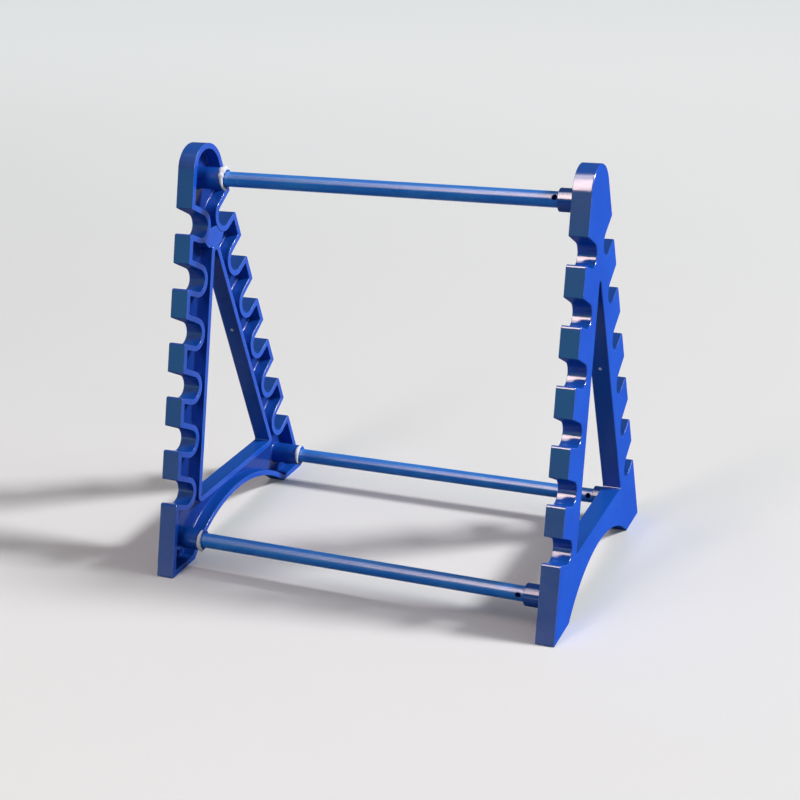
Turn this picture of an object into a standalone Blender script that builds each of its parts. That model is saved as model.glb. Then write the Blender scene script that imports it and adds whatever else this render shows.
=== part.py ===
"""Pipette rack: two moulded A-shaped end frames joined by three round tubes.

X runs along the tubes, Y from front to back and Z up. The origin lies on the floor,
under the middle of the rack. Each end frame is one moulding: a flat web on the outside
and a rim that follows its outline on the inside, with six sloping slots on each leg,
a round head, an arched foot rail and three tubular bosses that hold the tubes.
"""
import math
from collections import namedtuple

import bmesh
import bpy

MM = 0.001

# Outline of an end frame, seen along the tubes
RACK_HEIGHT = 220 * MM
BASE_DEPTH = 154 * MM
HEAD_RADIUS = 14.8 * MM
LEG_WIDTH = 26.1 * MM
FOOT_LENGTH = 23.7 * MM
ARCH_RISE = 19.5 * MM
CROSSBAR_TOP = 32.0 * MM
OPENING_TIP_RADIUS = 1.6 * MM
OPENING_CORNER_RADIUS = 0.8 * MM

# Slots for the pipettes, the same on both legs
SLOT_COUNT = 6
SLOT_WIDTH = 12.0 * MM
SLOT_DEPTH = 17.3 * MM
LOWEST_SLOT_RISE = 45.0 * MM
TOP_SLOT_DROP = 29.3 * MM
SLOT_SLOPE = math.radians(27.5)
SLOT_FLARE = math.radians(2)
TOOTH_ROUND = 1.3 * MM

# Section of the moulding
FRAME_DEPTH = 10.0 * MM
WEB_THICKNESS = 2.8 * MM
RIM_WALL = 3.0 * MM
EDGE_ROUND = 0.6 * MM
RIB_THICKNESS = 1.6 * MM
RIB_DROP = 0.4 * MM
FOOT_RIB_DROP = 4.7 * MM
GUSSET_START = math.radians(210)
GUSSET_END = math.radians(268)
GUSSET_SHOULDER = 6.5 * MM

# Bosses and tubes
BOSS_WALL = 1.55 * MM
BOSS_REACH = 10.2 * MM
BOSS_EDGE = 0.3 * MM
TUBE_FREE_SPAN = 184.5 * MM
TUBE_DIAMETER = 8.0 * MM
TUBE_WALL = 1.0 * MM
TUBE_HOLE_DIAMETER = 2.8 * MM
TOP_TUBE_DROP = 18.5 * MM
FOOT_TUBE_HEIGHT = 16.1 * MM
FOOT_TUBE_INSET = 18.6 * MM

# Glue on the left boss mouths, and what a lump adds to it
GLUE_SKIN = 0.35 * MM
GLUE_LUMP = 0.85 * MM
GLUE_WRAP = 1.7 * MM
GLUE_LUMP_SPREAD = math.radians(48)
GLUE_END_SHARE = 0.15

FIT_GAP = 0.3 * MM
CUT_MARGIN = 1.0 * MM
MERGE_DISTANCE = 0.01 * MM

# Facets of the round shapes
SLOT_STEPS = 12
HEAD_STEPS = 18
ARCH_STEPS = 26
CORNER_STEPS = 4
EDGE_STEPS = 2
ROUND_SEGMENTS = 40
GLUE_STEPS = 24
SMOOTH_ANGLE = math.radians(35)

# Values worked out from the sizes above
HALF_BASE = BASE_DEPTH / 2
HALF_WIDTH = TUBE_FREE_SPAN / 2 + BOSS_REACH + FRAME_DEPTH
HEAD_CENTRE_HEIGHT = RACK_HEIGHT - HEAD_RADIUS
TOP_TUBE_HEIGHT = RACK_HEIGHT - TOP_TUBE_DROP
BORE_DIAMETER = TUBE_DIAMETER + 2 * FIT_GAP
BOSS_DIAMETER = BORE_DIAMETER + 2 * BOSS_WALL
MOUTH_DEPTH = FRAME_DEPTH + BOSS_REACH
FOOT_TUBE_Y = HALF_BASE - FOOT_TUBE_INSET
ARCH_HALF_SPAN = HALF_BASE - FOOT_LENGTH
ARCH_RADIUS = (ARCH_HALF_SPAN ** 2 + ARCH_RISE ** 2) / (2 * ARCH_RISE)
ARCH_CENTRE_HEIGHT = ARCH_RISE - ARCH_RADIUS

# The leg's outer edge runs from the toe to where it touches the head's arc
LEG_LEAN = (math.acos(HEAD_RADIUS / math.hypot(HALF_BASE, HEAD_CENTRE_HEIGHT))
            - math.atan2(HEAD_CENTRE_HEIGHT, HALF_BASE))
LEG_NORMAL = (math.cos(LEG_LEAN), math.sin(LEG_LEAN))
LEG_DIRECTION = (-math.sin(LEG_LEAN), math.cos(LEG_LEAN))
LEG_LENGTH = math.sqrt(HALF_BASE ** 2 + HEAD_CENTRE_HEIGHT ** 2 - HEAD_RADIUS ** 2)
SLOT_PITCH = (LEG_LENGTH - LOWEST_SLOT_RISE - TOP_SLOT_DROP) / (SLOT_COUNT - 1)

Tube = namedtuple("Tube", "label y z hole_setback hole_turn "
                  "glue_start glue_end glue_peak glue_fill")

BLUE_PLASTIC = {"colour": (0.012, 0.090, 0.660), "roughness": 0.36, "metallic": 0.0}
BLUE_COATING = {"colour": (0.020, 0.098, 0.420), "roughness": 0.40, "metallic": 0.0}
WHITE_GLUE = {"colour": (0.800, 0.810, 0.860), "roughness": 0.45, "metallic": 0.0}


def clear_scene():
    """Remove every object of the scene."""
    for item in list(bpy.data.objects):
        bpy.data.objects.remove(item, do_unlink=True)


def new_collection(name):
    """Return a new collection linked to the scene."""
    collection = bpy.data.collections.new(name)
    bpy.context.scene.collection.children.link(collection)
    return collection


def new_material(name, colour, roughness, metallic):
    """Return a Principled material."""
    material = bpy.data.materials.new(name)
    material.use_nodes = True
    shader = material.node_tree.nodes["Principled BSDF"]
    shader.inputs["Base Color"].default_value = (*colour, 1.0)
    shader.inputs["Roughness"].default_value = roughness
    shader.inputs["Metallic"].default_value = metallic
    material.diffuse_color = (*colour, 1.0)
    return material


def point_at(origin, direction, distance):
    """Return the point at a distance from an origin along a direction."""
    return (origin[0] + direction[0] * distance, origin[1] + direction[1] * distance)


def heading(angle):
    """Return the unit vector at an angle from the depth axis."""
    return (math.cos(angle), math.sin(angle))


def meeting_point(start, direction, other_start, other_direction):
    """Return the point where two lines cross."""
    cross = direction[0] * other_direction[1] - direction[1] * other_direction[0]
    gap_y = other_start[0] - start[0]
    gap_z = other_start[1] - start[1]
    distance = (gap_y * other_direction[1] - gap_z * other_direction[0]) / cross
    return point_at(start, direction, distance)


def arc(centre, radius, start, end, steps):
    """Return the points of an arc, both ends included."""
    turns = [start + (end - start) * i / steps for i in range(steps + 1)]
    return [point_at(centre, heading(turn), radius) for turn in turns]


def rounded_corner(before, corner, after, radius):
    """Return the points that round a corner, all at the corner where there is no radius."""
    if radius <= 0:
        return [corner] * (CORNER_STEPS + 1)
    to_before = math.atan2(before[1] - corner[1], before[0] - corner[0])
    to_after = math.atan2(after[1] - corner[1], after[0] - corner[0])
    opening = math.remainder(to_after - to_before, math.tau)
    middle = to_before + opening / 2
    centre = point_at(corner, heading(middle), radius / math.sin(abs(opening) / 2))
    sweep = math.copysign(math.pi - abs(opening), opening)
    first = to_before - math.copysign(math.pi / 2, opening)
    return arc(centre, radius, first, first - sweep, CORNER_STEPS)


def mirrored(points):
    """Return the points on the front side that match those on the back side."""
    return [(-y, z) for y, z in reversed(points)]


def leg_line(inset):
    """Return a point on the leg's outer edge moved inwards, at the floor."""
    return point_at((HALF_BASE, 0.0), LEG_NORMAL, -inset)


def slot_centre(index):
    """Return the centre of a slot's round end on the rear leg, counted from the floor."""
    foot = point_at((HALF_BASE, 0.0), LEG_DIRECTION, LOWEST_SLOT_RISE + index * SLOT_PITCH)
    return point_at(foot, LEG_NORMAL, SLOT_WIDTH / 2 - SLOT_DEPTH)


def slot_edge(index, offset):
    """Return the outline of one slot on the rear leg, from its lower lip to its upper lip.

    The offset moves the walls away from the slot's middle and the leg's edge inwards.
    """
    centre = slot_centre(index)
    radius = SLOT_WIDTH / 2 + offset
    lower_slope = SLOT_SLOPE - SLOT_FLARE
    upper_slope = SLOT_SLOPE + SLOT_FLARE
    lower_side = lower_slope - math.pi / 2
    upper_side = upper_slope - math.pi * 3 / 2
    round_end = arc(centre, radius, lower_side, upper_side, SLOT_STEPS)
    edge = leg_line(offset)
    lower_lip = meeting_point(round_end[0], heading(lower_slope), edge, LEG_DIRECTION)
    upper_lip = meeting_point(round_end[-1], heading(upper_slope), edge, LEG_DIRECTION)
    below = point_at(lower_lip, LEG_DIRECTION, -SLOT_PITCH)
    lip = rounded_corner(below, lower_lip, round_end[0], TOOTH_ROUND - offset)
    return lip + round_end + [upper_lip]


def frame_outline(inset):
    """Return the closed outer outline of an end frame, moved inwards by an inset."""
    arch_radius = ARCH_RADIUS + inset
    arch_drop = inset - ARCH_CENTRE_HEIGHT
    foot_inner = (math.sqrt(arch_radius ** 2 - arch_drop ** 2), inset)
    toe = meeting_point(leg_line(inset), LEG_DIRECTION, (0.0, inset), (1.0, 0.0))
    rear = [foot_inner, toe]
    for index in range(SLOT_COUNT):
        rear += slot_edge(index, inset)
    head_centre = (0.0, HEAD_CENTRE_HEIGHT)
    rear += arc(head_centre, HEAD_RADIUS - inset, LEG_LEAN, math.pi / 2, HEAD_STEPS)
    arch_end = math.asin(arch_drop / arch_radius)
    arch_centre = (0.0, ARCH_CENTRE_HEIGHT)
    arch = arc(arch_centre, arch_radius, math.pi - arch_end, arch_end, ARCH_STEPS)
    return rear + mirrored(rear[:-1]) + arch[1:-1]


def opening_outline(growth):
    """Return the closed outline of the three-cornered opening, grown by an amount."""
    side = leg_line(LEG_WIDTH - growth)
    base = (0.0, CROSSBAR_TOP - growth)
    tip = meeting_point(side, LEG_DIRECTION, (0.0, 0.0), (0.0, 1.0))
    rear_corner = meeting_point(side, LEG_DIRECTION, base, (1.0, 0.0))
    front_corner = (-rear_corner[0], rear_corner[1])
    corner_radius = OPENING_CORNER_RADIUS + growth
    tip_radius = OPENING_TIP_RADIUS + growth
    return (rounded_corner(front_corner, rear_corner, tip, corner_radius)
            + rounded_corner(rear_corner, tip, front_corner, tip_radius)
            + rounded_corner(tip, front_corner, rear_corner, corner_radius))


def finished_solid(name, work, collection):
    """Turn worked-on geometry into an object with its doubled points merged."""
    bmesh.ops.remove_doubles(work, verts=work.verts, dist=MERGE_DISTANCE)
    bmesh.ops.recalc_face_normals(work, faces=work.faces)
    mesh = bpy.data.meshes.new(name)
    work.to_mesh(mesh)
    work.free()
    solid = bpy.data.objects.new(name, mesh)
    collection.objects.link(solid)
    return solid


def bridge(work, ring, following):
    """Join two closed rings of points with faces."""
    for i in range(len(ring)):
        work.faces.new((ring[i - 1], ring[i], following[i], following[i - 1]))


def cap(work, rings):
    """Fill the flat area inside the first ring and outside the others."""
    edges = [work.edges.get((ring[i - 1], ring[i])) for ring in rings for i in range(len(ring))]
    bmesh.ops.triangle_fill(work, edges=edges, use_beauty=True)


def moulding_section():
    """Return the frame's section as pairs of depth and inset.

    It runs from the outer face round its edge, over the rim and down to the pocket floor.
    """
    turns = [math.pi / 2 * i / EDGE_STEPS for i in range(EDGE_STEPS + 1)]
    edge = [(EDGE_ROUND * (1 - math.cos(turn)), EDGE_ROUND * (1 - math.sin(turn)))
            for turn in turns]
    return edge + [(FRAME_DEPTH, 0.0), (FRAME_DEPTH, RIM_WALL), (WEB_THICKNESS, RIM_WALL)]


def moulding(name, side, collection):
    """Carry the frame's section round its outline and round the opening.

    The side is -1 for the left frame and 1 for the right one.
    """
    work = bmesh.new()
    faces_between = []
    for outline in (frame_outline, opening_outline):
        rings = []
        for depth, inset in moulding_section():
            x = side * (HALF_WIDTH - depth)
            rings.append([work.verts.new((x, y, z)) for y, z in outline(inset)])
        for ring, following in zip(rings, rings[1:]):
            bridge(work, ring, following)
        faces_between.append((rings[0], rings[-1]))
    for rings in zip(*faces_between):
        cap(work, rings)
    return finished_solid(name, work, collection)


def prism(name, outline, side, near, far, collection):
    """Extrude a closed outline along X between two depths from a frame's outer face."""
    work = bmesh.new()
    rings = []
    for depth in (near, far):
        x = side * (HALF_WIDTH - depth)
        rings.append([work.verts.new((x, y, z)) for y, z in outline])
    bridge(work, rings[0], rings[1])
    for ring in rings:
        work.faces.new(ring)
    return finished_solid(name, work, collection)


def round_bar(name, diameter, start, end, y, z, collection):
    """Return a cylinder along X between two places."""
    bpy.ops.mesh.primitive_cylinder_add(
        vertices=ROUND_SEGMENTS,
        radius=diameter / 2,
        depth=abs(end - start),
        location=((start + end) / 2, y, z),
        rotation=(0.0, math.pi / 2, 0.0),
    )
    bar = bpy.context.object
    bar.name = name
    for owner in list(bar.users_collection):
        owner.objects.unlink(bar)
    collection.objects.link(bar)
    return bar


def combine(target, other, operation):
    """Add a Boolean modifier and set the other object up as its tool."""
    modifier = target.modifiers.new(other.name, "BOOLEAN")
    modifier.operation = operation
    modifier.solver = "EXACT"
    modifier.object = other
    other.display_type = "WIRE"
    other.hide_render = True


def shade_round(item):
    """Shade a round piece smooth, with its sharp edges kept."""
    item.data.shade_smooth()
    item.data.set_sharp_from_angle(angle=SMOOTH_ANGLE)


def tubes():
    """Return the place of each tube, its cross hole and its glue.

    The hole's setback runs from the right boss mouth, and its turn is the angle above
    the front. The glue's angles run from the back over the top to the front.
    """
    return (
        Tube(label="top", y=0.0, z=TOP_TUBE_HEIGHT,
             hole_setback=1.9 * MM, hole_turn=math.radians(31),
             glue_start=math.radians(40), glue_end=math.radians(262),
             glue_peak=math.radians(108), glue_fill=1.0),
        Tube(label="front", y=-FOOT_TUBE_Y, z=FOOT_TUBE_HEIGHT,
             hole_setback=3.3 * MM, hole_turn=math.radians(15),
             glue_start=math.radians(92), glue_end=math.radians(250),
             glue_peak=math.radians(165), glue_fill=0.3),
        Tube(label="rear", y=FOOT_TUBE_Y, z=FOOT_TUBE_HEIGHT,
             hole_setback=2.6 * MM, hole_turn=math.radians(22),
             glue_start=math.radians(75), glue_end=math.radians(215),
             glue_peak=math.radians(125), glue_fill=0.45),
    )


def boss(label, side, y, z, cutters):
    """Return a boss with a rounded mouth edge, from inside the web to its mouth."""
    start = side * (HALF_WIDTH - WEB_THICKNESS / 2)
    mouth = side * (HALF_WIDTH - MOUTH_DEPTH)
    post = round_bar(label + "_boss", BOSS_DIAMETER, start, mouth, y, z, cutters)
    edge = post.modifiers.new("mouth_edge", "BEVEL")
    edge.width = BOSS_EDGE
    edge.segments = 2
    edge.limit_method = "ANGLE"
    return post


def boss_bore(label, side, y, z, cutters):
    """Return the cutter of a boss's blind bore, which ends at the web."""
    floor = side * (HALF_WIDTH - WEB_THICKNESS)
    past_mouth = side * (HALF_WIDTH - MOUTH_DEPTH - CUT_MARGIN)
    return round_bar(label + "_bore", BORE_DIAMETER, floor, past_mouth, y, z, cutters)


def foot_rib(label, side, y, cutters):
    """Return the rib that ties a foot boss to the leg's outer wall, square to that wall."""
    away = math.copysign(1.0, y)
    axis = (FOOT_TUBE_Y, FOOT_TUBE_HEIGHT)
    wall = leg_line(RIM_WALL / 2)
    reach = (wall[0] - axis[0]) * LEG_NORMAL[0] + (wall[1] - axis[1]) * LEG_NORMAL[1]
    outline = []
    for drop, out in ((1, 0.0), (1, reach), (-1, reach), (-1, 0.0)):
        under = point_at(axis, LEG_DIRECTION, -FOOT_RIB_DROP - drop * RIB_THICKNESS / 2)
        corner = point_at(under, LEG_NORMAL, out)
        outline.append((away * corner[0], corner[1]))
    depth = FRAME_DEPTH - RIB_DROP
    return prism(label + "_rib", outline, side, WEB_THICKNESS / 2, depth, cutters)


def tip_gusset(label, side, cutters):
    """Return the solid fill between the two top slots and the tip of the opening."""
    centre = slot_centre(SLOT_COUNT - 1)
    reach = (SLOT_WIDTH + RIM_WALL) / 2
    tip = max(corner[1] for corner in opening_outline(0.0))
    rear = [
        (0.0, tip + RIM_WALL / 2),
        (GUSSET_SHOULDER, tip + RIM_WALL),
        point_at(centre, heading(GUSSET_END), reach),
        point_at(centre, heading(GUSSET_START), reach),
    ]
    outline = rear + mirrored(rear[1:])
    depth = FRAME_DEPTH - RIB_DROP
    return prism(label + "_gusset", outline, side, WEB_THICKNESS / 2, depth, cutters)


def end_frame(label, side, material, parts, cutters):
    """Build one moulded end frame as a single solid."""
    frame = moulding(label + "_end_frame", side, parts)
    combine(frame, tip_gusset(label, side, cutters), "UNION")
    for tube in tubes():
        spot = label + "_" + tube.label
        if tube.y != 0.0:
            combine(frame, foot_rib(spot, side, tube.y, cutters), "UNION")
        combine(frame, boss(spot, side, tube.y, tube.z, cutters), "UNION")
        combine(frame, boss_bore(spot, side, tube.y, tube.z, cutters), "DIFFERENCE")
    frame.data.materials.append(material)
    shade_round(frame)
    return frame


def cross_hole(tube, cutters):
    """Return the drill that makes the small hole beside a tube's right boss."""
    reach = TUBE_DIAMETER
    bpy.ops.mesh.primitive_cylinder_add(
        vertices=ROUND_SEGMENTS // 2,
        radius=TUBE_HOLE_DIAMETER / 2,
        depth=reach,
        location=(
            TUBE_FREE_SPAN / 2 - tube.hole_setback,
            tube.y - math.cos(tube.hole_turn) * reach / 2,
            tube.z + math.sin(tube.hole_turn) * reach / 2,
        ),
        rotation=(math.pi / 2 - tube.hole_turn, 0.0, 0.0),
    )
    drill = bpy.context.object
    drill.name = tube.label + "_cross_hole"
    for owner in list(drill.users_collection):
        owner.objects.unlink(drill)
    cutters.objects.link(drill)
    return drill


def connecting_tube(tube, material, parts, cutters):
    """Build one tube, open at both ends, which sits in a boss of each frame."""
    half_length = HALF_WIDTH - WEB_THICKNESS - FIT_GAP
    bar = round_bar(tube.label + "_tube", TUBE_DIAMETER, -half_length, half_length,
                    tube.y, tube.z, parts)
    past_end = half_length + CUT_MARGIN
    inside = TUBE_DIAMETER - 2 * TUBE_WALL
    hollow = round_bar(tube.label + "_hollow", inside, -past_end, past_end,
                       tube.y, tube.z, cutters)
    combine(bar, hollow, "DIFFERENCE")
    combine(bar, cross_hole(tube, cutters), "DIFFERENCE")
    bar.data.materials.append(material)
    shade_round(bar)
    return bar


def glue_section(lump, share):
    """Return the glue's section as pairs of radius and distance in front of the mouth.

    It hooks round the edge of the boss's mouth. The lump is how much is heaped there,
    and the share shrinks the section towards the ends of the glue.
    """
    corner = BOSS_DIAMETER / 2 + FIT_GAP
    heap = share * (GLUE_SKIN + GLUE_LUMP * lump)
    cover = share * BOSS_WALL
    wrap = share * (GLUE_SKIN + GLUE_WRAP * lump)
    edge = BOSS_DIAMETER / 2 - cover
    return [
        (edge, FIT_GAP),
        (edge + 0.15 * cover, FIT_GAP + 0.7 * heap),
        (edge + 0.55 * cover, FIT_GAP + heap),
        (corner + 0.25 * heap, FIT_GAP + 0.9 * heap),
        (corner + 0.8 * heap, FIT_GAP + 0.35 * heap),
        (corner + heap, -0.4 * wrap),
        (corner + 0.7 * heap, -0.85 * wrap),
        (corner, -wrap),
        (corner, FIT_GAP),
    ]


def glue_bead(tube, material, parts):
    """Build the uneven crescent of set glue on a left boss's mouth."""
    mouth = -TUBE_FREE_SPAN / 2
    middle = (tube.glue_start + tube.glue_end) / 2
    half_sweep = (tube.glue_end - tube.glue_start) / 2
    work = bmesh.new()
    rings = []
    for i in range(GLUE_STEPS + 1):
        turn = tube.glue_start + 2 * half_sweep * i / GLUE_STEPS
        lump = tube.glue_fill * math.exp(-((turn - tube.glue_peak) / GLUE_LUMP_SPREAD) ** 2)
        taper = math.sqrt(1.0 - min(1.0, abs(turn - middle) / half_sweep) ** 2)
        section = glue_section(lump, max(GLUE_END_SHARE, taper))
        rings.append([
            work.verts.new((
                mouth + forward,
                tube.y + radius * math.cos(turn),
                tube.z + radius * math.sin(turn),
            ))
            for radius, forward in section
        ])
    for ring, following in zip(rings, rings[1:]):
        bridge(work, ring, following)
    for ring in (rings[0], rings[-1]):
        work.faces.new(ring)
    bead = finished_solid(tube.label + "_glue_bead", work, parts)
    bead.data.materials.append(material)
    shade_round(bead)
    return bead


def build_rack():
    """Build every piece of the rack."""
    clear_scene()
    parts = new_collection("pipette_rack")
    cutters = new_collection("pipette_rack_cutters")
    plastic = new_material("blue_plastic", **BLUE_PLASTIC)
    coating = new_material("blue_coating", **BLUE_COATING)
    glue = new_material("white_glue", **WHITE_GLUE)
    end_frame("left", -1, plastic, parts, cutters)
    end_frame("right", 1, plastic, parts, cutters)
    for tube in tubes():
        connecting_tube(tube, coating, parts, cutters)
        glue_bead(tube, glue, parts)


build_rack()
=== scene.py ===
"""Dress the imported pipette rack: moulded end frames, coated tubes and set glue.

Everything is in metres, with X along the tubes, Y from front to back and Z up.
"""
import logging
import math
from dataclasses import dataclass
from enum import Enum
from typing import Any, Iterable, Sequence

import bmesh
import bpy
from mathutils import Euler, Matrix, Vector, noise


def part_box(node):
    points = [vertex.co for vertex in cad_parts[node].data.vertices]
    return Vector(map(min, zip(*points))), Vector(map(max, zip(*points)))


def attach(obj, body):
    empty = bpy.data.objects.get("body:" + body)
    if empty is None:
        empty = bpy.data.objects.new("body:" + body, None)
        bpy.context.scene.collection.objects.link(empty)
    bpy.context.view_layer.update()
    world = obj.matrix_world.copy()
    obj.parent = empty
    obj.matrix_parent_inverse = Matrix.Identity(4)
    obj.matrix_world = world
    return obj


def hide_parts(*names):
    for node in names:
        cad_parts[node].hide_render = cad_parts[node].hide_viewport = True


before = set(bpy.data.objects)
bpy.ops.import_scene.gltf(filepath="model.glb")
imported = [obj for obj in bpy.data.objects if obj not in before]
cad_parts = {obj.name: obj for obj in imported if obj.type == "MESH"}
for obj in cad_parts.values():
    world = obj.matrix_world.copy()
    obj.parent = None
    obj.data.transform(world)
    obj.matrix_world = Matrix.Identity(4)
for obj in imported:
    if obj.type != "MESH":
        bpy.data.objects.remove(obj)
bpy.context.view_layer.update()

MM = 0.001
BODY = "root"
MERGE_DISTANCE = 0.004 * MM
SMOOTH_ANGLE = math.radians(32)
NORMAL_WEIGHT = 90
BEVEL_SAMPLES = 6
LOG = logging.getLogger("pipette_rack")

Colour = tuple[float, float, float]
Spot = tuple[float, float, float]
Fade = tuple[float, float]

SIDEWAYS: Spot = (1.0, 0.0, 0.0)
UPWARDS: Spot = (0.0, 0.0, 1.0)
LEVEL = Vector((1.0, 0.0))
UPRIGHT = Vector((0.0, 1.0))
BOSS_RADIUS = 5.85 * MM
BOSS_MOUTH = 92.25 * MM


class Side(Enum):
    """The end of the rack that a frame stands at."""

    LEFT = -1
    RIGHT = 1

    @property
    def node(self) -> str:
        """Return the name of the CAD node of this side's frame."""
        return self.name.lower() + "_end_frame"


class Place(Enum):
    """One of the three tubes."""

    TOP = "top"
    FRONT = "front"
    REAR = "rear"

    @property
    def tube_node(self) -> str:
        """Return the name of the CAD node of this tube."""
        return self.value + "_tube"

    @property
    def glue_node(self) -> str:
        """Return the name of the CAD node of this tube's glue."""
        return self.value + "_glue_bead"


class Cut(Enum):
    """What a Boolean does with its tool."""

    ADD = "UNION"
    REMOVE = "DIFFERENCE"


class Value:
    """A number socket of a material, on which Python's operators add Math nodes."""

    def __init__(self, paint: "Paint", socket: bpy.types.NodeSocket) -> None:
        """Keep the socket and the material that it belongs to.

        Args:
            paint: The material's node builder.
            socket: The output socket to wrap.
        """
        self.paint = paint
        self.socket = socket

    def _math(self, operation: str, first: Any, second: Any) -> "Value":
        """Add a Math node.

        Args:
            operation: The Math node's operation.
            first: The first operand, a number or a Value.
            second: The second operand, a number or a Value.

        Returns:
            The node's result.
        """
        node = self.paint.node("ShaderNodeMath", {"operation": operation},
                               {0: first, 1: second})
        return Value(self.paint, node.outputs[0])

    def __add__(self, other: Any) -> "Value":
        """Return self plus other."""
        return self._math("ADD", self, other)

    def __radd__(self, other: Any) -> "Value":
        """Return other plus self."""
        return self._math("ADD", other, self)

    def __sub__(self, other: Any) -> "Value":
        """Return self minus other."""
        return self._math("SUBTRACT", self, other)

    def __rsub__(self, other: Any) -> "Value":
        """Return other minus self."""
        return self._math("SUBTRACT", other, self)

    def __mul__(self, other: Any) -> "Value":
        """Return self times other."""
        return self._math("MULTIPLY", self, other)

    def __rmul__(self, other: Any) -> "Value":
        """Return other times self."""
        return self._math("MULTIPLY", other, self)

    def __abs__(self) -> "Value":
        """Return the value without its sign."""
        return self._math("ABSOLUTE", self, 0.0)

    def step(self, start: float, end: float) -> "Value":
        """Fade from 0 at one value to 1 at another.

        Args:
            start: The value that gives 0.
            end: The value that gives 1.

        Returns:
            The smooth fade, held at 0 and 1 outside the two values.
        """
        settings = {"interpolation_type": "SMOOTHSTEP"}
        low, high, ends = (start, end, (0.0, 1.0)) if start < end else (end, start, (1.0, 0.0))
        sockets = {"Value": self, "From Min": low, "From Max": high,
                   "To Min": ends[0], "To Max": ends[1]}
        node = self.paint.node("ShaderNodeMapRange", settings, sockets)
        return Value(self.paint, node.outputs["Result"])


class Paint:
    """The node tree of one material."""

    def __init__(self, name: str) -> None:
        """Start a material with no nodes.

        Args:
            name: The material's name.
        """
        self.material = bpy.data.materials.new(name)
        self.material.use_nodes = True
        self.tree = self.material.node_tree
        self.tree.nodes.clear()

    def node(self, kind: str, settings: dict[str, Any],
             sockets: dict[int | str, Any]) -> bpy.types.Node:
        """Add a node.

        Args:
            kind: The node's type.
            settings: Its properties, which are set first.
            sockets: The values or links of its inputs, by name or number.

        Returns:
            The node.
        """
        node = self.tree.nodes.new(kind)
        for key, value in settings.items():
            setattr(node, key, value)
        for key, value in sockets.items():
            if isinstance(value, Value):
                value = value.socket
            if isinstance(value, bpy.types.NodeSocket):
                self.tree.links.new(value, node.inputs[key])
            else:
                node.inputs[key].default_value = value
        return node

    def value(self, node: bpy.types.Node, output: int | str = 0) -> Value:
        """Return one output of a node as a Value."""
        return Value(self, node.outputs[output])

    def position(self) -> bpy.types.NodeSocket:
        """Return the place on the piece, in metres."""
        return self.node("ShaderNodeTexCoord", {}, {}).outputs["Object"]

    def noise(self, size: float, detail: float = 2.0, roughness: float = 0.5,
              stretch: Spot = (1.0, 1.0, 1.0)) -> Value:
        """Return a noise from 0 to 1.

        Args:
            size: The size of its features in metres.
            detail: The number of finer layers.
            roughness: How strong the finer layers are.
            stretch: A factor on the place for each axis. Under 1 the features get longer.

        Returns:
            The noise.
        """
        place = self.node("ShaderNodeVectorMath", {"operation": "MULTIPLY"},
                          {0: self.position(), 1: stretch})
        node = self.node("ShaderNodeTexNoise", {}, {
            "Vector": place.outputs["Vector"], "Scale": 1.0 / size,
            "Detail": detail, "Roughness": roughness})
        return self.value(node)

    def specks(self, size: float) -> Value:
        """Return the distance to the nearest of many scattered points, in feature sizes."""
        node = self.node("ShaderNodeTexVoronoi", {},
                         {"Vector": self.position(), "Scale": 1.0 / size})
        return self.value(node, "Distance")

    def distance_to(self, place: Vector) -> Value:
        """Return the distance to a place on the piece, in metres."""
        node = self.node("ShaderNodeVectorMath", {"operation": "DISTANCE"},
                         {0: self.position(), 1: tuple(place)})
        return self.value(node, "Value")

    def along(self, axis: str) -> Value:
        """Return the place along the X, Y or Z axis, in metres."""
        split = self.node("ShaderNodeSeparateXYZ", {}, {"Vector": self.position()})
        return self.value(split, axis)

    def normal(self) -> bpy.types.NodeSocket:
        """Return the direction that the surface faces."""
        return self.node("ShaderNodeNewGeometry", {}, {}).outputs["Normal"]

    def dot(self, first: bpy.types.NodeSocket, second: Any) -> Value:
        """Return the dot product of a vector link and a vector or vector link."""
        node = self.node("ShaderNodeVectorMath", {"operation": "DOT_PRODUCT"},
                         {0: first, 1: second})
        return self.value(node, "Value")

    def facing(self, direction: Spot) -> Value:
        """Return how far the surface faces a direction, from -1 to 1."""
        return self.dot(self.normal(), direction)

    def edges(self, radius: float) -> Value:
        """Return a mask that is about 0 on flat areas and more towards the edges.

        Args:
            radius: How far from an edge the mask reaches, in metres.

        Returns:
            The mask.
        """
        bevel = self.node("ShaderNodeBevel", {"samples": BEVEL_SAMPLES}, {"Radius": radius})
        return 1.0 - self.dot(bevel.outputs["Normal"], self.normal())

    def mix(self, factor: Value, first: Any, second: Any) -> bpy.types.NodeSocket:
        """Mix two colours.

        Args:
            factor: 0 gives the first colour and 1 the second.
            first: A colour or a colour link.
            second: A colour or a colour link.

        Returns:
            The mixed colour.
        """
        sockets = {0: factor, 6: self._rgba(first), 7: self._rgba(second)}
        node = self.node("ShaderNodeMix", {"data_type": "RGBA"}, sockets)
        return node.outputs[2]

    @staticmethod
    def _rgba(colour: Any) -> Any:
        """Return a colour with its alpha, or a link as it is."""
        return (*colour, 1.0) if isinstance(colour, tuple) else colour

    def bump(self, height: Value, strength: float, distance: float,
             under: bpy.types.NodeSocket | None = None) -> bpy.types.NodeSocket:
        """Turn a height into a bumped normal.

        Args:
            height: The height, from 0 to 1.
            strength: How much of it shows.
            distance: The real height of 1, in metres.
            under: A bumped normal that this one is laid over.

        Returns:
            The normal.
        """
        sockets: dict[int | str, Any] = {
            "Height": height, "Strength": strength, "Distance": distance}
        if under is not None:
            sockets["Normal"] = under
        return self.node("ShaderNodeBump", {}, sockets).outputs["Normal"]

    def shader(self, sockets: dict[int | str, Any]) -> bpy.types.NodeSocket:
        """Return a Principled shader with the given values or links by name."""
        return self.node("ShaderNodeBsdfPrincipled", {}, sockets).outputs["BSDF"]

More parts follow.
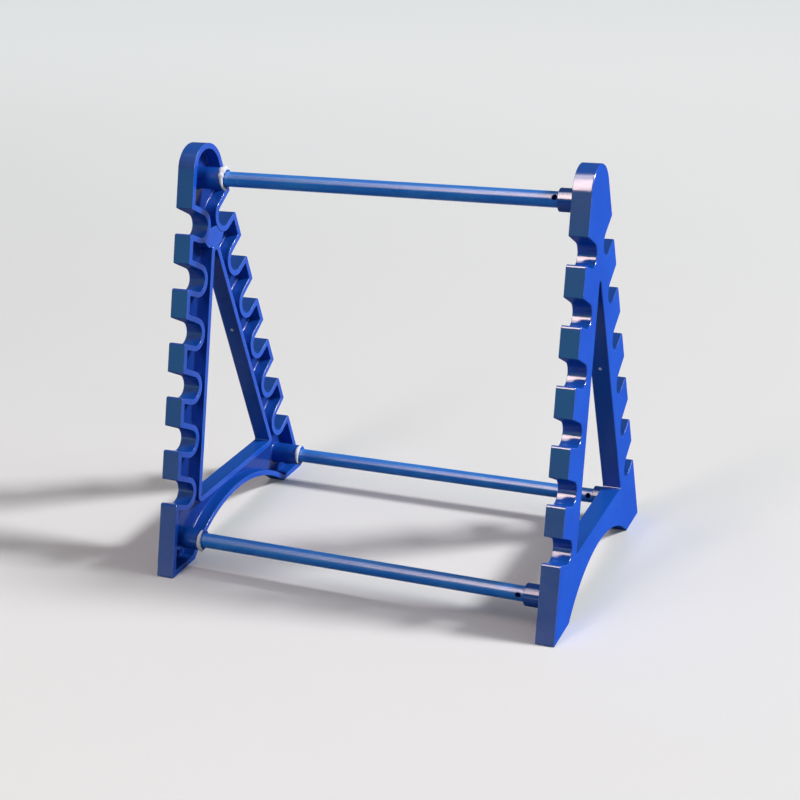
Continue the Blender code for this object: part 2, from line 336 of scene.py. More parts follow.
    def coat(self, sockets: dict[int | str, Any], dull_level: float, ior: float,
             gloss: Value) -> bpy.types.Material:
        """Lay a dull and a polished shader on the surface.

        Args:
            sockets: The values or links that both have.
            dull_level: How much the dull one reflects, against 1 for the polished one.
            ior: The polished one's index of refraction.
            gloss: 0 gives the dull one and 1 the polished one.

        Returns:
            The material.
        """
        dull = self.shader({**sockets, "Specular IOR Level": dull_level})
        polished = self.shader({**sockets, "Specular IOR Level": 1.0, "IOR": ior})
        mixed = self.node("ShaderNodeMixShader", {}, {0: gloss, 1: dull, 2: polished})
        return self.finish(mixed.outputs[0])

    def finish(self, shader: bpy.types.NodeSocket) -> bpy.types.Material:
        """Put a shader on the surface and return the material."""
        self.node("ShaderNodeOutputMaterial", {}, {"Surface": shader})
        return self.material


@dataclass(frozen=True)
class MouldedPlastic:
    """Royal blue moulded plastic, satin where it is flat and polished on walls that face up.

    Its edges are paler, which is a painted highlight, and its walls and its pockets' floors
    darker, which is painted shade. A share says how much of a colour is laid on. A fade holds
    the values that give 0 and 1, those of depth in metres behind the outer face and that of
    the gate in metres from its middle.
    """

    body: Colour = (0.007, 0.086, 0.620)
    flow: Colour = (0.009, 0.101, 0.680)
    # Painted highlight: the paler blue laid along the edges.
    edge: Colour = (0.085, 0.290, 0.780)
    # Painted shade: the darker blue laid on walls that face sideways.
    wall: Colour = (0.008, 0.084, 0.400)
    # Painted shade: the darker blue laid on the pockets' deep floors.
    painted_pocket_shade: Colour = (0.012, 0.040, 0.240)
    stress: Colour = (0.620, 0.680, 0.900)
    painted_wall_shade_share: float = 0.65
    painted_pocket_shade_share: float = 0.8
    painted_highlight_share: float = 0.85
    flow_size: float = 34 * MM
    wave_size: float = 11 * MM
    scuff_size: float = 1.6 * MM
    grain_size: float = 0.55 * MM
    painted_highlight_reach: float = 0.9 * MM
    wave_strength: float = 0.25
    wave_height: float = 0.30 * MM
    grain_strength: float = 0.20
    grain_height: float = 0.012 * MM
    roughness: float = 0.15
    grain_roughness: float = 0.06
    scuff_roughness: float = 0.05
    ior: float = 2.00
    dull_level: float = 0.0
    face_gloss: float = 0.08
    rim_gloss: float = 0.22
    foot_gloss: float = 0.4
    corner_dulling: float = 0.9
    flow_fade: Fade = (0.35, 0.70)
    scuff_fade: Fade = (0.58, 0.72)
    painted_highlight_fade: Fade = (0.02, 0.30)
    side_fade: Fade = (0.95, 0.55)
    upward_fade: Fade = (0.16, 0.27)
    height_fade: Fade = (5 * MM, 65 * MM)
    floor_fade: Fade = (0.5, 0.9)
    corner_fade: Fade = (0.03, 0.12)
    gate_fade: Fade = (1.125 * MM, 0.675 * MM)
    pocket_depth_fade: Fade = (4.5 * MM, 3.5 * MM)
    web_depth_fade: Fade = (1.5 * MM, 1.8 * MM)
    rim_depth_fade: Fade = (0.1 * MM, 0.3 * MM)

    def material(self, gate: Vector, face: float) -> bpy.types.Material:
        """Make the material.

        Args:
            gate: Where the gate was broken off, which leaves a pale mark.
            face: How far the outer face lies from the rack's middle.

        Returns:
            The material.
        """
        paint = Paint("moulded_blue_plastic")
        across = paint.along("X")
        sideways = paint.facing(SIDEWAYS)
        depth = face - abs(across)
        inwards = across * sideways * (-1.0 / face)
        sides = abs(sideways).step(*self.side_fade)
        deep = depth.step(*self.pocket_depth_fade)
        floors = inwards.step(*self.floor_fade)

        drift = paint.noise(self.flow_size, detail=3.0).step(*self.flow_fade)
        colour = paint.mix(drift, self.body, self.flow)
        # Painted shade: walls that face sideways are darkened.
        colour = paint.mix(sides * self.painted_wall_shade_share, colour, self.wall)
        # Painted shade: the pockets' deep floors are darkened.
        colour = paint.mix(floors * deep * self.painted_pocket_shade_share, colour, self.painted_pocket_shade)
        # Painted highlight: edges are paled, but not deep in the pockets.
        edges = paint.edges(self.painted_highlight_reach).step(*self.painted_highlight_fade)
        edges = edges * (1.0 - deep * depth.step(*self.web_depth_fade))
        colour = paint.mix(edges * self.painted_highlight_share, colour, self.edge)
        mark = paint.distance_to(gate).step(*self.gate_fade)
        colour = paint.mix(mark, colour, self.stress)

        grain = paint.noise(self.grain_size, detail=3.0, roughness=0.6)
        wave = paint.noise(self.wave_size, detail=1.0)
        scuffs = paint.noise(self.scuff_size, detail=4.0, roughness=0.7).step(*self.scuff_fade)
        waves = paint.bump(wave, self.wave_strength, self.wave_height)
        shared = {
            "Base Color": colour,
            "Roughness": self.roughness + grain * self.grain_roughness
            + scuffs * self.scuff_roughness,
            "Normal": paint.bump(grain, self.grain_strength, self.grain_height, under=waves),
        }

        upward = sides * paint.facing(UPWARDS).step(*self.upward_fade)
        raised = paint.along("Z").step(*self.height_fade)
        walls = upward * (raised * (1.0 - self.foot_gloss) + self.foot_gloss)
        rims = depth.step(*self.rim_depth_fade) * (1.0 - sides)
        least = rims * (self.rim_gloss - self.face_gloss) + self.face_gloss
        corner = inwards.step(*self.corner_fade) * deep * (1.0 - floors)
        gloss = (least + walls * (1.0 - least)) * (1.0 - corner * self.corner_dulling)
        return paint.coat(shared, self.dull_level, self.ior, gloss)


@dataclass(frozen=True)
class TubeCoating:
    """Blue coating with a fine pale speckle, worn to brown round the cross hole.

    It is glossy where it faces up and duller below. A share says how much of a colour is
    laid on. A fade holds the values that give 0 and 1, that of the worn ring in metres
    from the hole's edge.
    """

    body: Colour = (0.014, 0.205, 0.820)
    pale: Colour = (0.036, 0.285, 0.900)
    speck: Colour = (0.260, 0.420, 0.800)
    worn: Colour = (0.110, 0.045, 0.022)
    grain_share: float = 0.4
    speck_share: float = 0.9
    worn_share: float = 0.6
    stretch: Spot = (0.35, 1.0, 1.0)
    cloud_size: float = 6 * MM
    grain_size: float = 0.45 * MM
    speck_size: float = 0.85 * MM
    patch_size: float = 3.1 * MM
    ragged_size: float = 0.5 * MM
    ragged_reach: float = 0.5 * MM
    cloud_strength: float = 0.15
    cloud_height: float = 0.04 * MM
    grain_strength: float = 0.20
    grain_height: float = 0.012 * MM
    roughness: float = 0.25
    grain_roughness: float = 0.10
    worn_roughness: float = 0.2
    ior: float = 2.00
    dull_level: float = 0.15
    cloud_fade: Fade = (0.38, 0.66)
    speck_fade: Fade = (0.27, 0.13)
    patch_fade: Fade = (0.50, 0.66)
    upward_fade: Fade = (0.20, 0.50)
    worn_fade: Fade = (0.375 * MM, 0.125 * MM)

    def material(self, name: str, hole: Vector, hole_radius: float) -> bpy.types.Material:
        """Make the material of one tube.

        Args:
            name: The material's name.
            hole: The middle of the cross hole on the tube's surface.
            hole_radius: The radius of the cross hole.

        Returns:
            The material.
        """
        paint = Paint(name)
        clouds = paint.noise(self.cloud_size, detail=4.0, stretch=self.stretch)
        grain = paint.noise(self.grain_size, detail=2.0)
        mottle = clouds * (1.0 - self.grain_share) + grain * self.grain_share
        colour = paint.mix(mottle.step(*self.cloud_fade), self.body, self.pale)
        specks = paint.specks(self.speck_size).step(*self.speck_fade)
        patches = paint.noise(self.patch_size, detail=2.0).step(*self.patch_fade)
        colour = paint.mix(specks * patches * self.speck_share, colour, self.speck)
        ragged = (paint.noise(self.ragged_size, detail=2.0) - 0.5) * self.ragged_reach
        worn = (paint.distance_to(hole) - hole_radius + ragged).step(*self.worn_fade)
        colour = paint.mix(worn * self.worn_share, colour, self.worn)
        cloudy = paint.bump(clouds, self.cloud_strength, self.cloud_height)
        shared = {
            "Base Color": colour,
            "Roughness": self.roughness + grain * self.grain_roughness
            + worn * self.worn_roughness,
            "Normal": paint.bump(grain, self.grain_strength, self.grain_height, under=cloudy),
        }
        upward = paint.facing(UPWARDS).step(*self.upward_fade)
        return paint.coat(shared, self.dull_level, self.ior, upward)


@dataclass(frozen=True)
class SetGlue:
    """Set white glue, satin and a little cloudy."""

    body: Colour = (0.800, 0.815, 0.870)
    thin: Colour = (0.420, 0.520, 0.820)
    thin_share: float = 0.35
    thin_fade: Fade = (0.60, 0.28)
    cloud_size: float = 1.3 * MM
    cloud_strength: float = 0.5
    cloud_height: float = 0.12 * MM
    roughness: float = 0.36
    cloud_roughness: float = 0.15
    scatter: float = 0.2
    scatter_reach: Spot = (0.8 * MM, 0.8 * MM, 1.0 * MM)

    def material(self) -> bpy.types.Material:
        """Make the material.

        Returns:
            The material.
        """
        paint = Paint("set_white_glue")
        cloud = paint.noise(self.cloud_size, detail=3.0, roughness=0.6)
        thin = cloud.step(*self.thin_fade) * self.thin_share
        return paint.finish(paint.shader({
            "Base Color": paint.mix(thin, self.body, self.thin),
            "Roughness": self.roughness + cloud * self.cloud_roughness,
            "Subsurface Weight": self.scatter,
            "Subsurface Radius": self.scatter_reach,
            "Subsurface Scale": 1.0,
            "Normal": paint.bump(cloud, self.cloud_strength, self.cloud_height),
        }))


@dataclass(frozen=True)
class PaleFloor:
    """Matt floor, nearly white, that throws little light back and glows a little far off.

    Its upright rim glows in a grey of its own. A fade holds the values that give 0 and 1.
    """

    colour: Colour = (0.800, 0.805, 0.815)
    dark: Colour = (0.0, 0.0, 0.0)
    bounce: Colour = (0.180, 0.181, 0.183)
    glow: Colour = (0.260, 0.260, 0.262)
    backdrop: Colour = (0.340, 0.350, 0.355)
    roughness: float = 0.75
    shine: float = 0.25
    mottle_size: float = 0.12
    mottle_level: float = 0.985
    near_glow: float = 0.1
    far_glow: float = 0.9
    far_fade: Fade = (-0.20, 1.60)
    upright_fade: Fade = (0.6, 0.3)

    def material(self) -> bpy.types.Material:
        """Make the material.

        Returns:
            The material.
        """
        paint = Paint("pale_floor")
        path = paint.node("ShaderNodeLightPath", {}, {})
        seen = (paint.value(path, "Is Camera Ray") + paint.value(path, "Is Glossy Ray")
                + paint.value(path, "Is Transmission Ray"))
        darker = tuple(self.mottle_level * level for level in self.colour)
        pale = paint.mix(paint.noise(self.mottle_size, detail=2.0), darker, self.colour)
        far = paint.along("Y").step(*self.far_fade)
        upright = paint.facing(UPWARDS).step(*self.upright_fade)
        strength = seen * (far * self.far_glow + upright + self.near_glow)
        glow = paint.mix(upright, self.glow, self.backdrop)
        return paint.finish(paint.shader({
            "Base Color": paint.mix(seen, self.bounce, pale),
            "Roughness": self.roughness,
            "Specular IOR Level": self.shine,
            "Emission Color": paint.mix(strength, self.dark, glow),
            "Emission Strength": 1.0,
        }))


class Outline:
    """A closed outline seen along the tubes, drawn point by point as (Y, Z) vectors."""

    def __init__(self) -> None:
        """Start with no points."""
        self.points: list[Vector] = []

    def add(self, points: Iterable[Vector]) -> "Outline":
        """Add points and return the outline."""
        self.points.extend(points)
        return self

    def arc(self, centre: Vector, radius: float, start: float, end: float,
            steps: int) -> "Outline":
        """Add an arc, both ends included.

        Args:
            centre: The arc's centre.
            radius: Its radius.
            start: The angle it starts at.
            end: The angle it ends at.
            steps: The number of its straight pieces.

        Returns:
            The outline.
        """
        turns = [start + (end - start) * i / steps for i in range(steps + 1)]
        return self.add(centre + heading(turn) * radius for turn in turns)

    def corner(self, before: Vector, corner: Vector, after: Vector, radius: float,
               steps: int) -> "Outline":
        """Add a rounded corner.

        Args:
            before: A point on the side that leads to the corner.
            corner: The corner.
            after: A point on the side that leaves it.
            radius: The rounding. At 0 or less all the points lie at the corner.
            steps: The number of the rounding's straight pieces.

        Returns:
            The outline.
        """
        if radius <= 0:
            return self.add([corner.copy() for _ in range(steps + 1)])
        to_before = angle_of(before - corner)
        opening = math.remainder(angle_of(after - corner) - to_before, math.tau)
        middle = heading(to_before + opening / 2)
        centre = corner + middle * (radius / math.sin(abs(opening) / 2))
        sweep = math.copysign(math.pi - abs(opening), opening)
        first = to_before - math.copysign(math.pi / 2, opening)
        return self.arc(centre, radius, first, first - sweep, steps)


def heading(angle: float) -> Vector:
    """Return the unit vector at an angle from the Y axis."""
    return Vector((math.cos(angle), math.sin(angle)))


def angle_of(direction: Vector) -> float:
    """Return a direction's angle from the Y axis."""
    return math.atan2(direction.y, direction.x)


def mirrored(points: Sequence[Vector]) -> list[Vector]:
    """Return points carried over from the rear leg to the front one, in reverse order."""
    return [Vector((-point.x, point.y)) for point in reversed(points)]


def rounding(radius: float, steps: int) -> list[tuple[float, float]]:
    """Draw a quarter of a round edge, as distances from the two flat sides that it joins.

    Args:
        radius: The rounding's radius.
        steps: The number of its straight pieces.

    Returns:
        Pairs of the first distance, from 0, and the second one, down to 0.
    """
    turns = [math.pi / 2 * i / steps for i in range(steps + 1)]
    return [(radius * (1 - math.cos(turn)), radius * (1 - math.sin(turn))) for turn in turns]


def meeting_point(start: Vector, along: Vector, other: Vector, other_along: Vector) -> Vector:
    """Find where two lines cross.

    Args:
        start: A point on the first line.
        along: The first line's direction.
        other: A point on the second line.
        other_along: The second line's direction.

    Returns:
        The crossing.
    """
    gap = other - start
    cross = along.x * other_along.y - along.y * other_along.x
    return start + along * ((gap.x * other_along.y - gap.y * other_along.x) / cross)


class Workpiece:
    """A mesh in the making and the steps that finish it as a visible piece."""

    def __init__(self, name: str) -> None:
        """Start an empty mesh.

        Args:
            name: The name of the finished piece.
        """
        self.name = name
        self.work = bmesh.new()

    def ring(self, places: Iterable[Sequence[float]]) -> list[bmesh.types.BMVert]:
        """Add a ring of points and return it."""
        return [self.work.verts.new(place) for place in places]

    def bridge(self, rings: Sequence[Sequence[bmesh.types.BMVert]]) -> None:
        """Join each ring to the next with faces.

        Args:
            rings: Closed rings with the same number of points.
        """
        for ring, following in zip(rings, rings[1:]):
            for i in range(len(ring)):
                self.work.faces.new((ring[i - 1], ring[i], following[i], following[i - 1]))

    def prism(self, rings: Sequence[Sequence[bmesh.types.BMVert]]) -> None:
        """Join the rings and close the first and the last one with a face.

        Args:
            rings: Closed rings with the same number of points.
        """
        self.bridge(rings)
        for ring in (rings[0], rings[-1]):
            self.work.faces.new(ring)

    def close(self, x: float) -> None:
        """Fill the flat area between the open edges that lie at one place along X.

        Args:
            x: The place.
        """
        bmesh.ops.remove_doubles(self.work, verts=self.work.verts, dist=MERGE_DISTANCE)
        edges = [edge for edge in self.work.edges if edge.is_boundary
                 and all(abs(vert.co.x - x) < MERGE_DISTANCE for vert in edge.verts)]
        bmesh.ops.triangle_fill(self.work, edges=edges, use_beauty=True, normal=SIDEWAYS)

    def done(self) -> bpy.types.Object:
        """Merge doubled points, turn the faces outwards and make the object.

        Returns:
            The object, linked to the scene.
        """
        bmesh.ops.remove_doubles(self.work, verts=self.work.verts, dist=MERGE_DISTANCE)
        bmesh.ops.recalc_face_normals(self.work, faces=self.work.faces)
        mesh = bpy.data.meshes.new(self.name)
        self.work.to_mesh(mesh)
        self.work.free()
        piece = bpy.data.objects.new(self.name, mesh)
        bpy.context.scene.collection.objects.link(piece)
        return piece


def lathe(name: str, profile: Sequence[tuple[float, float]], y: float, z: float,
          segments: int) -> bpy.types.Object:
    """Turn a closed profile round an axis along X.

    Args:
        name: The piece's name.
        profile: Pairs of a place along X and a radius, in order round the section. A
            radius of 0 lies on the axis.
        y: The axis's depth place.
        z: The axis's height.
        segments: The number of facets round the axis.

    Returns:
        The turned piece.
    """
    item = Workpiece(name)
    turns = [math.tau * i / segments for i in range(segments)]
    rings = [
        item.ring((x, y + radius * math.cos(turn), z + radius * math.sin(turn))
                  for turn in turns)
        for x, radius in profile
    ]
    item.bridge(rings + [rings[0]])
    return item.done()


def combine(piece: bpy.types.Object, tool: bpy.types.Object, cut: Cut) -> None:
    """Add a tool to a piece or remove it, and delete the tool.

    Args:
        piece: The piece that changes.
        tool: The closed mesh that is added or removed.
        cut: What is done.
    """
    modifier = piece.modifiers.new(tool.name, "BOOLEAN")
    modifier.operation = cut.value
    modifier.solver = "EXACT"
    modifier.object = tool
    bpy.context.view_layer.update()
    evaluated = piece.evaluated_get(bpy.context.evaluated_depsgraph_get())
    mesh = bpy.data.meshes.new_from_object(evaluated)
    piece.modifiers.clear()
    old = piece.data
    piece.data = mesh
    bpy.data.meshes.remove(old)
    bpy.data.objects.remove(tool, do_unlink=True)


def shade(piece: bpy.types.Object) -> None:
    """Shade a piece smooth, with sharp edges kept and flat areas kept flat.

    Args:
        piece: The piece.
    """
    piece.data.shade_smooth()
    piece.data.set_sharp_from_angle(angle=SMOOTH_ANGLE)
    weighted = piece.modifiers.new("flat_areas", "WEIGHTED_NORMAL")
    weighted.keep_sharp = True
    weighted.weight = NORMAL_WEIGHT


def dress(piece: bpy.types.Object, material: bpy.types.Material,
          node: str) -> None:
    """Give a piece its finish and tie it to the CAD node that it stands for.

    Args:
        piece: The finished piece.
        material: Its material.
        node: The CAD node that it replaces.
    """
    piece.data.materials.clear()
    piece.data.materials.append(material)
    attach(piece, BODY)
    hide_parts(node)
    LOG.info("%s: %d faces", piece.name, len(piece.data.polygons))


@dataclass
class EndFrame:
    """One moulded end frame: a flat web with a rim, slots, bosses, ribs and a gusset."""

    side: Side
    height: float = 220 * MM
    depth_at_feet: float = 154 * MM
    head_radius: float = 14.8 * MM
    leg_width: float = 26.1 * MM
    foot_length: float = 23.7 * MM
    arch_rise: float = 19.5 * MM
    crossbar_top: float = 32.0 * MM
    opening_tip_radius: float = 1.6 * MM
    opening_corner_radius: float = 0.8 * MM
    toe_round: float = 0.5 * MM
    slot_count: int = 6
    slot_width: float = 12.0 * MM
    slot_depth: float = 17.3 * MM
    lowest_slot_rise: float = 45.0 * MM
    top_slot_drop: float = 29.3 * MM
    slot_slope: float = math.radians(27.5)
    slot_flare: float = math.radians(2)
    tooth_round: float = 1.3 * MM
    lip_round: float = 0.45 * MM
    outer_face: float = 112.45 * MM
    moulding_depth: float = 10.0 * MM
    web: float = 2.8 * MM
    rim: float = 3.0 * MM
    edge_round: float = 0.6 * MM
    rim_round: float = 0.22 * MM
    floor_fillet: float = 0.5 * MM
    rib_thickness: float = 1.6 * MM
    rib_drop: float = 0.4 * MM
    foot_rib_drop: float = 4.7 * MM
    gusset_start: float = math.radians(210)
    gusset_end: float = math.radians(268)
    gusset_shoulder: float = 6.5 * MM
    boss_radius: float = BOSS_RADIUS
    boss_reach: float = 10.2 * MM
    boss_fillet: float = 1.0 * MM
    boss_round: float = 0.3 * MM
    bore_radius: float = 4.3 * MM
    bore_round: float = 0.12 * MM
    slot_steps: int = 28
    head_steps: int = 48
    arch_steps: int = 64
    corner_steps: int = 6
    edge_steps: int = 6
    rim_steps: int = 3
    boss_steps: int = 4
    boss_segments: int = 96
    gate_height: float = 109.5 * MM

    def __post_init__(self) -> None:
        """Work out the leg's line, the arch and the slots' pitch."""
        half_base = self.depth_at_feet / 2
        centre_height = self.height - self.head_radius
        self.lean = (math.acos(self.head_radius / math.hypot(half_base, centre_height))
                     - math.atan2(centre_height, half_base))
        self.toe = Vector((half_base, 0.0))
        self.head_centre = Vector((0.0, centre_height))
        self.outwards = heading(self.lean)
        self.upwards = heading(self.lean + math.pi / 2)
        leg_length = math.sqrt(half_base ** 2 + centre_height ** 2 - self.head_radius ** 2)
        run = leg_length - self.lowest_slot_rise - self.top_slot_drop
        self.slot_pitch = run / (self.slot_count - 1)
        half_arch = half_base - self.foot_length
        self.arch_radius = (half_arch ** 2 + self.arch_rise ** 2) / (2 * self.arch_rise)
        self.arch_centre = Vector((0.0, self.arch_rise - self.arch_radius))

    def leg_line(self, inset: float) -> Vector:
        """Return a point on the leg's outer edge moved inwards."""
        return self.toe - self.outwards * inset

    def slot_centre(self, index: int) -> Vector:
        """Return the centre of a slot's round end on the rear leg, counted from the floor."""
        foot = self.toe + self.upwards * (self.lowest_slot_rise + index * self.slot_pitch)
        return foot - self.outwards * (self.slot_depth - self.slot_width / 2)

    def draw_slot(self, outline: Outline, index: int, inset: float) -> None:
        """Draw one slot of the rear leg, from its lower lip to its upper lip.

        Args:
            outline: The outline that is drawn.
            index: The slot, counted from the floor.
            inset: How far the outline is moved into the material.
        """
        lower = self.slot_slope - self.slot_flare
        upper = self.slot_slope + self.slot_flare
        round_end = Outline().arc(
            self.slot_centre(index), self.slot_width / 2 + inset,
            lower - math.pi / 2, upper - math.pi * 3 / 2, self.slot_steps).points
        edge = self.leg_line(inset)
        lower_lip = meeting_point(round_end[0], heading(lower), edge, self.upwards)
        upper_lip = meeting_point(round_end[-1], heading(upper), edge, self.upwards)
        below = lower_lip - self.upwards * self.slot_pitch
        above = upper_lip + self.upwards * self.slot_pitch
        outline.corner(below, lower_lip, round_end[0], self.tooth_round - inset,
                       self.corner_steps)
        outline.add(round_end)
        outline.corner(round_end[-1], upper_lip, above, self.lip_round - inset,
                       self.corner_steps)

    def outer_outline(self, inset: float) -> list[Vector]:
        """Draw the frame's closed outer outline.

        Args:
            inset: How far it is moved into the material.

        Returns:
            The outline's points.
        """
        radius = self.arch_radius + inset
        drop = inset - self.arch_centre.y
        arch_end = math.asin(drop / radius)
        floor = Vector((0.0, inset))
        foot_inner = Vector((math.sqrt(radius ** 2 - drop ** 2), inset))
        toe = meeting_point(self.leg_line(inset), self.upwards, floor, LEVEL)
        rear = Outline()
        rear.corner(foot_inner, toe, toe + self.upwards, self.toe_round - inset,
                    self.corner_steps)
        for index in range(self.slot_count):
            self.draw_slot(rear, index, inset)
        rear.arc(self.head_centre, self.head_radius - inset, self.lean, math.pi / 2,
                 self.head_steps)
        front = mirrored(rear.points[:-1])
        arch = Outline().arc(self.arch_centre, radius, math.pi - arch_end, arch_end,
                             self.arch_steps)
        return rear.points + front + arch.points

    def opening_outline(self, inset: float) -> list[Vector]:
        """Draw the closed outline of the three-cornered opening.

        Args:
            inset: How far it is moved into the material.

        Returns:
            The outline's points.
        """
        side = self.leg_line(self.leg_width - inset)
        base = Vector((0.0, self.crossbar_top - inset))
        tip = meeting_point(side, self.upwards, Vector((0.0, 0.0)), UPRIGHT)
        rear = meeting_point(side, self.upwards, base, LEVEL)
        front = Vector((-rear.x, rear.y))
        small = self.opening_corner_radius + inset
        outline = Outline()
        outline.corner(front, rear, tip, small, self.corner_steps)
        outline.corner(rear, tip, front, self.opening_tip_radius + inset,
                       2 * self.corner_steps)
        outline.corner(tip, front, rear, small, self.corner_steps)
        return outline.points

    def section(self) -> list[tuple[float, float]]:
        """Draw the moulding's section.

        Returns:
            Pairs of depth and inset, from the outer face round its edge, over the rim
            and down to the floor of the pockets.
        """
        deep, rim, soft = self.moulding_depth, self.rim, self.rim_round
        outer_edge = rounding(self.edge_round, self.edge_steps)
        rim_outside = [(deep - b, a) for a, b in rounding(soft, self.rim_steps)]
        rim_inside = [(deep - a, rim - b) for a, b in rounding(soft, self.rim_steps)]
        floor_edge = [(self.web + b, rim + a)
                      for a, b in rounding(self.floor_fillet, self.rim_steps)]
        return outer_edge + rim_outside + rim_inside + floor_edge

    def moulding(self) -> bpy.types.Object:
        """Carry the section round the outline and round the opening.

        Returns:
            The flat web with its rims.
        """
        item = Workpiece(self.side.node.replace("_end", "_moulded"))
        for outline in (self.outer_outline, self.opening_outline):
            item.bridge([
                item.ring((self.side.value * (self.outer_face - depth), spot.x, spot.y)
                          for spot in outline(inset))
                for depth, inset in self.section()
            ])
        for depth in (0.0, self.web):
            item.close(self.side.value * (self.outer_face - depth))
        return item.done()

    def prism(self, name: str, outline: Sequence[Vector]) -> bpy.types.Object:
        """Raise an outline from inside the web to just under the rim.

        Args:
            name: The prism's name.
            outline: Its outline.

        Returns:
            The prism.
        """
        item = Workpiece(name)
        depths = (self.web / 2, self.moulding_depth - self.rib_drop)
        rings = [
            item.ring((self.side.value * (self.outer_face - depth), spot.x, spot.y)
                      for spot in outline)
            for depth in depths
        ]
        item.prism(rings)
        return item.done()

    def rib(self, y: float, z: float) -> bpy.types.Object:
        """Make the rib that ties a foot boss to the leg's outer wall.

        Args:
            y: The boss's depth place.
            z: The boss's height.

        Returns:
            The rib.
        """
        away = math.copysign(1.0, y)
        axis = Vector((abs(y), z))
        reach = (self.leg_line(self.rim / 2) - axis).dot(self.outwards)
        half = self.rib_thickness / 2
        corners = []
        for drop, out in ((half, 0.0), (half, reach), (-half, reach), (-half, 0.0)):
            spot = axis - self.upwards * (self.foot_rib_drop + drop) + self.outwards * out
            corners.append(Vector((away * spot.x, spot.y)))
        return self.prism("rib", corners)

    def gusset(self) -> bpy.types.Object:
        """Make the solid fill between the two top slots and the opening's tip.

        Returns:
            The gusset.
        """
        centre = self.slot_centre(self.slot_count - 1)
        reach = (self.slot_width + self.rim) / 2
        tip = max(spot.y for spot in self.opening_outline(0.0))
        rear = [
            Vector((0.0, tip + self.rim / 2)),
            Vector((self.gusset_shoulder, tip + self.rim)),
            centre + heading(self.gusset_end) * reach,
            centre + heading(self.gusset_start) * reach,
        ]
        return self.prism("gusset", rear + mirrored(rear[1:]))

    def boss(self, y: float, z: float) -> bpy.types.Object:
        """Turn a boss with a rounded mouth edge and a filleted root.

        Args:
            y: Its depth place.
            z: Its height.

        Returns:
            The boss, solid.
        """
        start = self.outer_face - self.web / 2
        root = self.outer_face - self.web
        mouth = self.outer_face - self.moulding_depth - self.boss_reach
        radius, fillet = self.boss_radius, self.boss_fillet
        profile = [(start, 0.0), (start, radius + fillet)]
        profile += [(root - a, radius + b) for a, b in rounding(fillet, self.boss_steps)]
        profile += [(mouth + b, radius - a)
                    for a, b in rounding(self.boss_round, self.boss_steps)]
        profile += [(mouth, 0.0)]
        turned = [(self.side.value * x, radius) for x, radius in profile]
        return lathe("boss", turned, y, z, self.boss_segments)

    def bore(self, y: float, z: float) -> bpy.types.Object:
        """Turn the cutter of a boss's blind bore, with a flared mouth.

        Args:
            y: Its depth place.
            z: Its height.

        Returns:
            The cutter.
        """
        floor = self.outer_face - self.web
        mouth = self.outer_face - self.moulding_depth - self.boss_reach
        flare = self.bore_radius + self.bore_round
        profile = [(floor, 0.0), (floor, self.bore_radius),
                   (mouth + self.bore_round, self.bore_radius), (mouth, flare),
                   (mouth - MM, flare), (mouth - MM, 0.0)]
        turned = [(self.side.value * x, radius) for x, radius in profile]
        return lathe("bore", turned, y, z, self.boss_segments)

    def build(self, bosses: Sequence[tuple[float, float]]) -> bpy.types.Object:
        """Build the whole frame as one closed mesh.

        Args:
            bosses: The depth place and height of each boss.

        Returns:
            The frame.
        """
        piece = self.moulding()
        combine(piece, self.gusset(), Cut.ADD)
        for y, z in bosses:
            # Only the foot bosses have a rib: the top one stands in the head's middle.
            if abs(y) > self.boss_radius:
                combine(piece, self.rib(y, z), Cut.ADD)
            combine(piece, self.boss(y, z), Cut.ADD)
            combine(piece, self.bore(y, z), Cut.REMOVE)
        shade(piece)
        return piece

    def gate(self) -> Vector:
        """Find where the gate mark lies, on the inner wall of the rear leg.

        Returns:
            The mark's middle.
        """
        wall = meeting_point(self.leg_line(self.leg_width), self.upwards,
                             Vector((0.0, self.gate_height)), LEVEL)
        across = self.outer_face - self.moulding_depth / 2
        return Vector((self.side.value * across, wall.x, self.gate_height))


@dataclass
class ConnectingTube:
    """One coated tube, open at both ends, with a small cross hole near its right end."""

    place: Place
    hole_setback: float
    hole_turn: float
    wall: float = 1.0 * MM
    end_round: float = 0.2 * MM
    hole_radius: float = 1.4 * MM
    right_mouth: float = BOSS_MOUTH
    end_steps: int = 3
    segments: int = 112
    hole_segments: int = 48

    def __post_init__(self) -> None:
        """Read the tube's place and size from its CAD node."""
        low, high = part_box(self.place.tube_node)
        self.low_x, self.high_x = low.x, high.x
        self.y = (low.y + high.y) / 2
        self.z = (low.z + high.z) / 2
        self.radius = (high.z - low.z) / 2

    def hole(self) -> Vector:
        """Return the middle of the cross hole on the tube's surface."""
        return Vector((
            self.right_mouth - self.hole_setback,
            self.y - math.cos(self.hole_turn) * self.radius,
            self.z + math.sin(self.hole_turn) * self.radius,
        ))

    def build(self) -> bpy.types.Object:
        """Turn the tube and drill its hole.

        Returns:
            The tube.
        """
        inner = self.radius - self.wall
        edge = rounding(self.end_round, self.end_steps)
        profile = [(self.low_x + a, self.radius - b) for a, b in edge]
        profile += [(self.high_x - a, self.radius - b) for a, b in reversed(edge)]
        profile += [(self.high_x, inner), (self.low_x, inner)]
        piece = lathe(self.place.value + "_coated_tube", profile, self.y, self.z,
                      self.segments)
        combine(piece, self.drill(), Cut.REMOVE)
        shade(piece)
        return piece

    def drill(self) -> bpy.types.Object:
        """Make the drill of the cross hole, from the tube's axis outwards.

        Returns:
            The drill.
        """
        item = Workpiece("drill")
        tilt = Matrix.Rotation(math.pi / 2 - self.hole_turn, 4, "X")
        base = Matrix.Translation((self.hole().x, self.y, self.z)) @ tilt
        turns = [math.tau * i / self.hole_segments for i in range(self.hole_segments)]
        circle = [heading(turn) * self.hole_radius for turn in turns]
        rings = [
            item.ring(base @ Vector((*spot, length)) for spot in circle)
            for length in (0.0, 2 * self.radius)
        ]
        item.prism(rings)
        return item.done()


